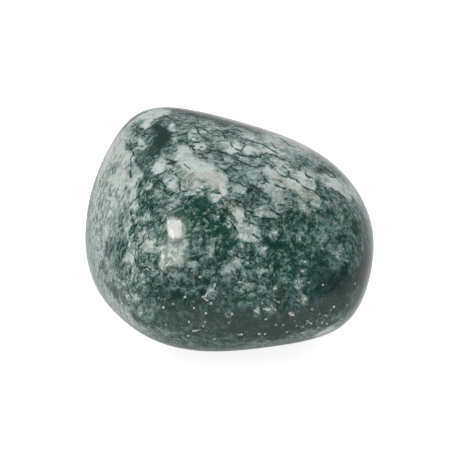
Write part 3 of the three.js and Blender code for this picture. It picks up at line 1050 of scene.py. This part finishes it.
def greened(rock, colour, level):
    hidden = rock.step(rock.texture("hidden greens"), *HIDDEN_GREEN_EDGE) * HIDDEN_GREEN
    greenness = rock.marked("greenness", hidden) * (1 - rock.step(level, *GREEN_LOSS_LEVELS))
    return rock.mix(greenness * GREEN_SHARE, colour, LEAF_GREEN)


def warmed(rock, colour, level):
    warmth = rock.attribute("warmth") * level * (1 + rock.texture("crumbs") * QUARTZ_CRUMBS)
    colour = rock.mix(rock.step(warmth, 0.0, 1.0) * QUARTZ_SHARE, colour, PINK_QUARTZ)
    return rock.mix(rock.step(0 - warmth, 0.0, 1.0) * QUARTZ_SHARE, colour, BLUE_QUARTZ)


# The pale flecks, partly pale grains and partly painted glints: how many could lie along a millimetre,
# the share of them that does where they are thickest, and their edges, from full to gone. The painted
# glint flecks are broken up by the same places.
GLINT_FLECK_CELLS = 1.4
GLINT_FLECK_SHARE = 0.16
GLINT_FLECK_LOT_EDGE = (0.0, 0.04)
GLINT_FLECK_EDGE = (0.12, 0.3)
BROKEN_EDGE = (-0.4, 0.25)
GLINT_FLECK_COLOUR = srgb(212, 214, 205)


def add_flecks_and_glints(rock, colour):
    """Adds the pale flecks, partly painted glints: scattered ones, and the painted specks and lines."""
    # Painted glints: pale base colour where the polish catches the light, together with pale grains.
    stone = rock.places["stone"]
    lot = rock.part(rock.cells(stone, GLINT_FLECK_CELLS, "Color"), "X")
    drawn = rock.step(lot - 1 + rock.attribute("sparkle") * GLINT_FLECK_SHARE, *GLINT_FLECK_LOT_EDGE)
    scattered = (1 - rock.step(rock.cells(stone, GLINT_FLECK_CELLS), *GLINT_FLECK_EDGE)) * drawn
    painted = rock.math("MAXIMUM", on_specks(rock, "crumb"), on_lines(rock, "pale"))
    whole = rock.step(rock.texture("clouds") + rock.texture("crumbs"), *BROKEN_EDGE)
    return rock.mix(rock.math("MAXIMUM", scattered, painted * whole), colour, GLINT_FLECK_COLOUR)


# The polish: how rough it is on quartz, how much rougher on moss and grain, and how deep the grain
# is etched. The level's steps are etched by this share of that.
POLISH = 0.045
MOSS_ROUGHNESS = 0.03
GRAIN_ROUGHNESS = 0.04
ETCHING = 0.0015 * MM
LEVEL_ETCHING = 0.5
QUARTZ_IOR = 1.54


def tree_agate():
    """White quartz full of green moss, in thin layers, polished."""
    material, graph = new_material("tree_agate")
    rock = Rock(graph.tree)
    # The tone holds the stone's moss and, on the photographed side, painted shade and light.
    tone = moss_tone_and_painted_shade(rock)
    level = stone_level(rock, tone)
    colour = rock.ramp(1 - (1 - level) * COLOUR_SPAN, STONE_COLOURS)
    colour = strayed_hues(rock, colour, level)
    colour = greened(rock, colour, level)
    colour = warmed(rock, colour, level)
    # Painted glints and pale flecks over the stone's colour.
    colour = add_flecks_and_glints(rock, colour)

    grain = rock.texture("grain")
    bump = rock.node("ShaderNodeBump", {}, {
        "Strength": 1.0, "Distance": ETCHING, "Height": grain + level * LEVEL_ETCHING})
    surface = rock.node("ShaderNodeBsdfPrincipled", {}, {
        "Base Color": colour, "Roughness": POLISH + tone * MOSS_ROUGHNESS + grain * GRAIN_ROUGHNESS,
        "IOR": QUARTZ_IOR, "Normal": bump})
    rock.node("ShaderNodeOutputMaterial", {}, {"Surface": surface})
    return material


def only_the_eye_sees(graph):
    """1 for what is looked at directly and 0 for what lights the pebble or is mirrored in it."""
    return graph.node("ShaderNodeLightPath", {}, {}, "Is Camera Ray")


# The table is this wide either way. Round the pebble it is pale and glows, a painted pool of light, and
# further off it is darker, from the first of the two distances to the second. To the eye it is bleached
# to white.
TABLE_REACH = 3.0
TABLE_GREY = 0.8
TABLE_GLOW = 0.12
TABLE_FAR_GREY = 0.5
TABLE_FADE = (20 * MM, 200 * MM)
TABLE_BLEACH = 0.6
TABLE_FAR_BLEACH = 0.5


def table_paper():
    material, graph = new_material("pale_table")
    place = graph.node("ShaderNodeTexCoord", {}, {}, "Object")
    far = graph.step(graph.length(place), *TABLE_FADE)
    bleach = only_the_eye_sees(graph) * (TABLE_BLEACH + far * TABLE_FAR_BLEACH)
    # A painted pool of light: paler and glowing round the pebble, darker further off.
    surface = graph.node("ShaderNodeBsdfPrincipled", {}, {
        "Base Color": graph.mix(far, grey(TABLE_GREY), grey(TABLE_FAR_GREY)),
        "Roughness": 1.0, "Specular IOR Level": 0.0,
        "Emission Color": grey(1.0), "Emission Strength": TABLE_GLOW * (1 - far) + bleach})
    graph.node("ShaderNodeOutputMaterial", {}, {"Surface": surface})
    return material


def add_floor():
    """A pale table."""
    mesh = bpy.data.meshes.new("table")
    corners = [(x * TABLE_REACH, y * TABLE_REACH, 0) for x, y in [(-1, -1), (1, -1), (1, 1), (-1, 1)]]
    mesh.from_pydata(corners, [], [tuple(range(len(corners)))])
    mesh.materials.append(table_paper())
    new_piece("table", mesh)


# The two soft boxes that the photograph shows mirrored, one over the other: the pixels of each
# highlight's corners and how brightly the box glows.
BOX_DISTANCE = 0.6
BOX_COLOUR = (1.0, 0.97, 0.92, 1)
BOXES = {
    "upper_softbox": ([(167, 219), (181.5, 219), (183, 239), (168, 239)], 16.0),
    "lower_softbox": ([(163.5, 243), (185, 243), (184, 265), (159, 265)], 5.5),
}


def box_cloth(name, glow):
    material, graph = new_material(name)
    light = graph.node("ShaderNodeEmission", {}, {"Color": BOX_COLOUR, "Strength": glow})
    graph.node("ShaderNodeOutputMaterial", {}, {"Surface": light})
    return material


def add_softbox(name, corner_pixels, glow, surface, photograph):
    """A glowing sheet that stands where the pebble mirrors it to the highlight's pixels."""
    corners = []
    for pixel in corner_pixels:
        spot, way = photograph.mirrored(surface, *pixel)
        corners.append(spot + way * BOX_DISTANCE)
    mesh = bpy.data.meshes.new(name)
    mesh.from_pydata(corners, [], [tuple(range(len(corners)))])
    mesh.materials.append(box_cloth(name, glow))
    new_piece(name, mesh)


# The room's glow at its dimmest and brightest, and how far up the picture a way points for each. To
# the upper left it is this much brighter. The polish mirrors only a share of it.
ROOM_DIM = 0.27
ROOM_BRIGHT = 0.92
ROOM_RISE = (-0.25, 0.85)
WINDOW_WAY = (UP - RIGHT).normalized()
WINDOW_SPAN = (0.2, 1.0)
WINDOW_GLOW = 0.2
ROOM_MIRRORED = 0.32


def add_room():
    """A pale room that is brightest above and behind the pebble."""
    world = bpy.data.worlds.new("room")
    world.use_nodes = True
    world.node_tree.nodes.clear()
    graph = Graph(world.node_tree)
    way = graph.node("ShaderNodeTexCoord", {}, {}, "Generated")
    glow = ROOM_DIM + graph.step(graph.along(way, UP), *ROOM_RISE) * (ROOM_BRIGHT - ROOM_DIM)
    glow = glow * (1 + graph.step(graph.along(way, WINDOW_WAY), *WINDOW_SPAN) * WINDOW_GLOW)
    mirrored = graph.node("ShaderNodeLightPath", {}, {}, "Is Glossy Ray")
    glow = glow * (1 - mirrored * (1 - ROOM_MIRRORED))
    back = graph.node("ShaderNodeBackground", {}, {
        "Color": grey(1.0), "Strength": graph.math("MAXIMUM", glow, only_the_eye_sees(graph))})
    graph.node("ShaderNodeOutputWorld", {}, {"Surface": back})
    bpy.context.scene.world = world


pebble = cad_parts["pebble"]
photograph = Photograph(vertex_places(pebble.data))
add_camera(photograph)
add_room()
add_floor()
skin = polished_skin(pebble, tree_agate(), photograph)
mark_skin(skin.data, photograph)
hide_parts("pebble")
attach(skin, "root")
surface = surface_of(skin.data)
for name, (corner_pixels, glow) in BOXES.items():
    add_softbox(name, corner_pixels, glow, surface, photograph)
bpy.context.scene.view_settings.view_transform = "Standard"
